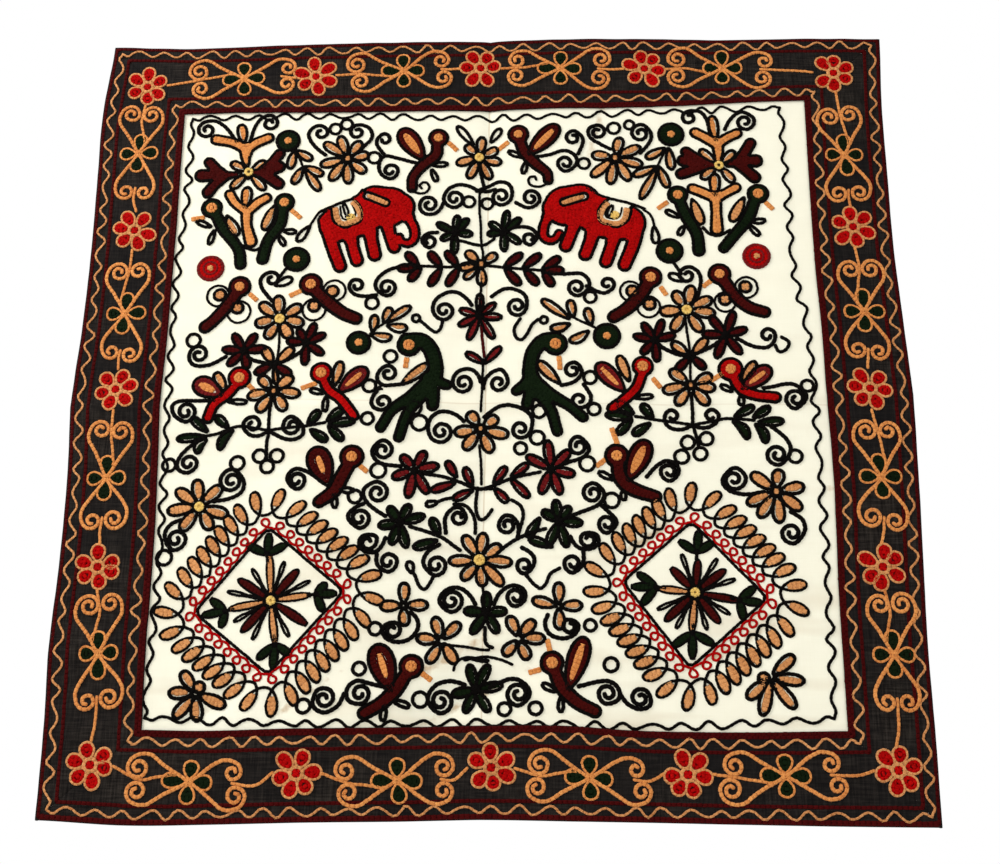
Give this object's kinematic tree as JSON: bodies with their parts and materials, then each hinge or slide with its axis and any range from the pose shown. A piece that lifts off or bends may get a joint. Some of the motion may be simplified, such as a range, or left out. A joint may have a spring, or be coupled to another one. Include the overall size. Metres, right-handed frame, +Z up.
{
  "type": "embroidered wall hanging",
  "caption": "Square cotton wall hanging: light centre panel in dark mitred border strips, chain-stitched all over with elephants, birds, flowers and scrolls.",
  "frame": {"origin": "on the top hem, at the middle of the hanging's width", "axes": "-Y is the way the embroidered face looks, +X is to the viewer's right along the top edge, +Z is up"},
  "size_m": [0.9236, 0.017, 0.9096],
  "materials": {
    "ivory_cotton": "plain-woven ivory cotton, matt, with wool-like chain stitch on its face",
    "black_cotton": "thin plain-woven black cotton, matt, with orange, red and maroon chain stitch on its face"
  },
  "bodies": {
    "root": {"centre_panel": "ivory_cotton", "border_top": "black_cotton", "border_right": "black_cotton", "border_bottom": "black_cotton", "border_left": "black_cotton"}
  },
  "joints": []
}
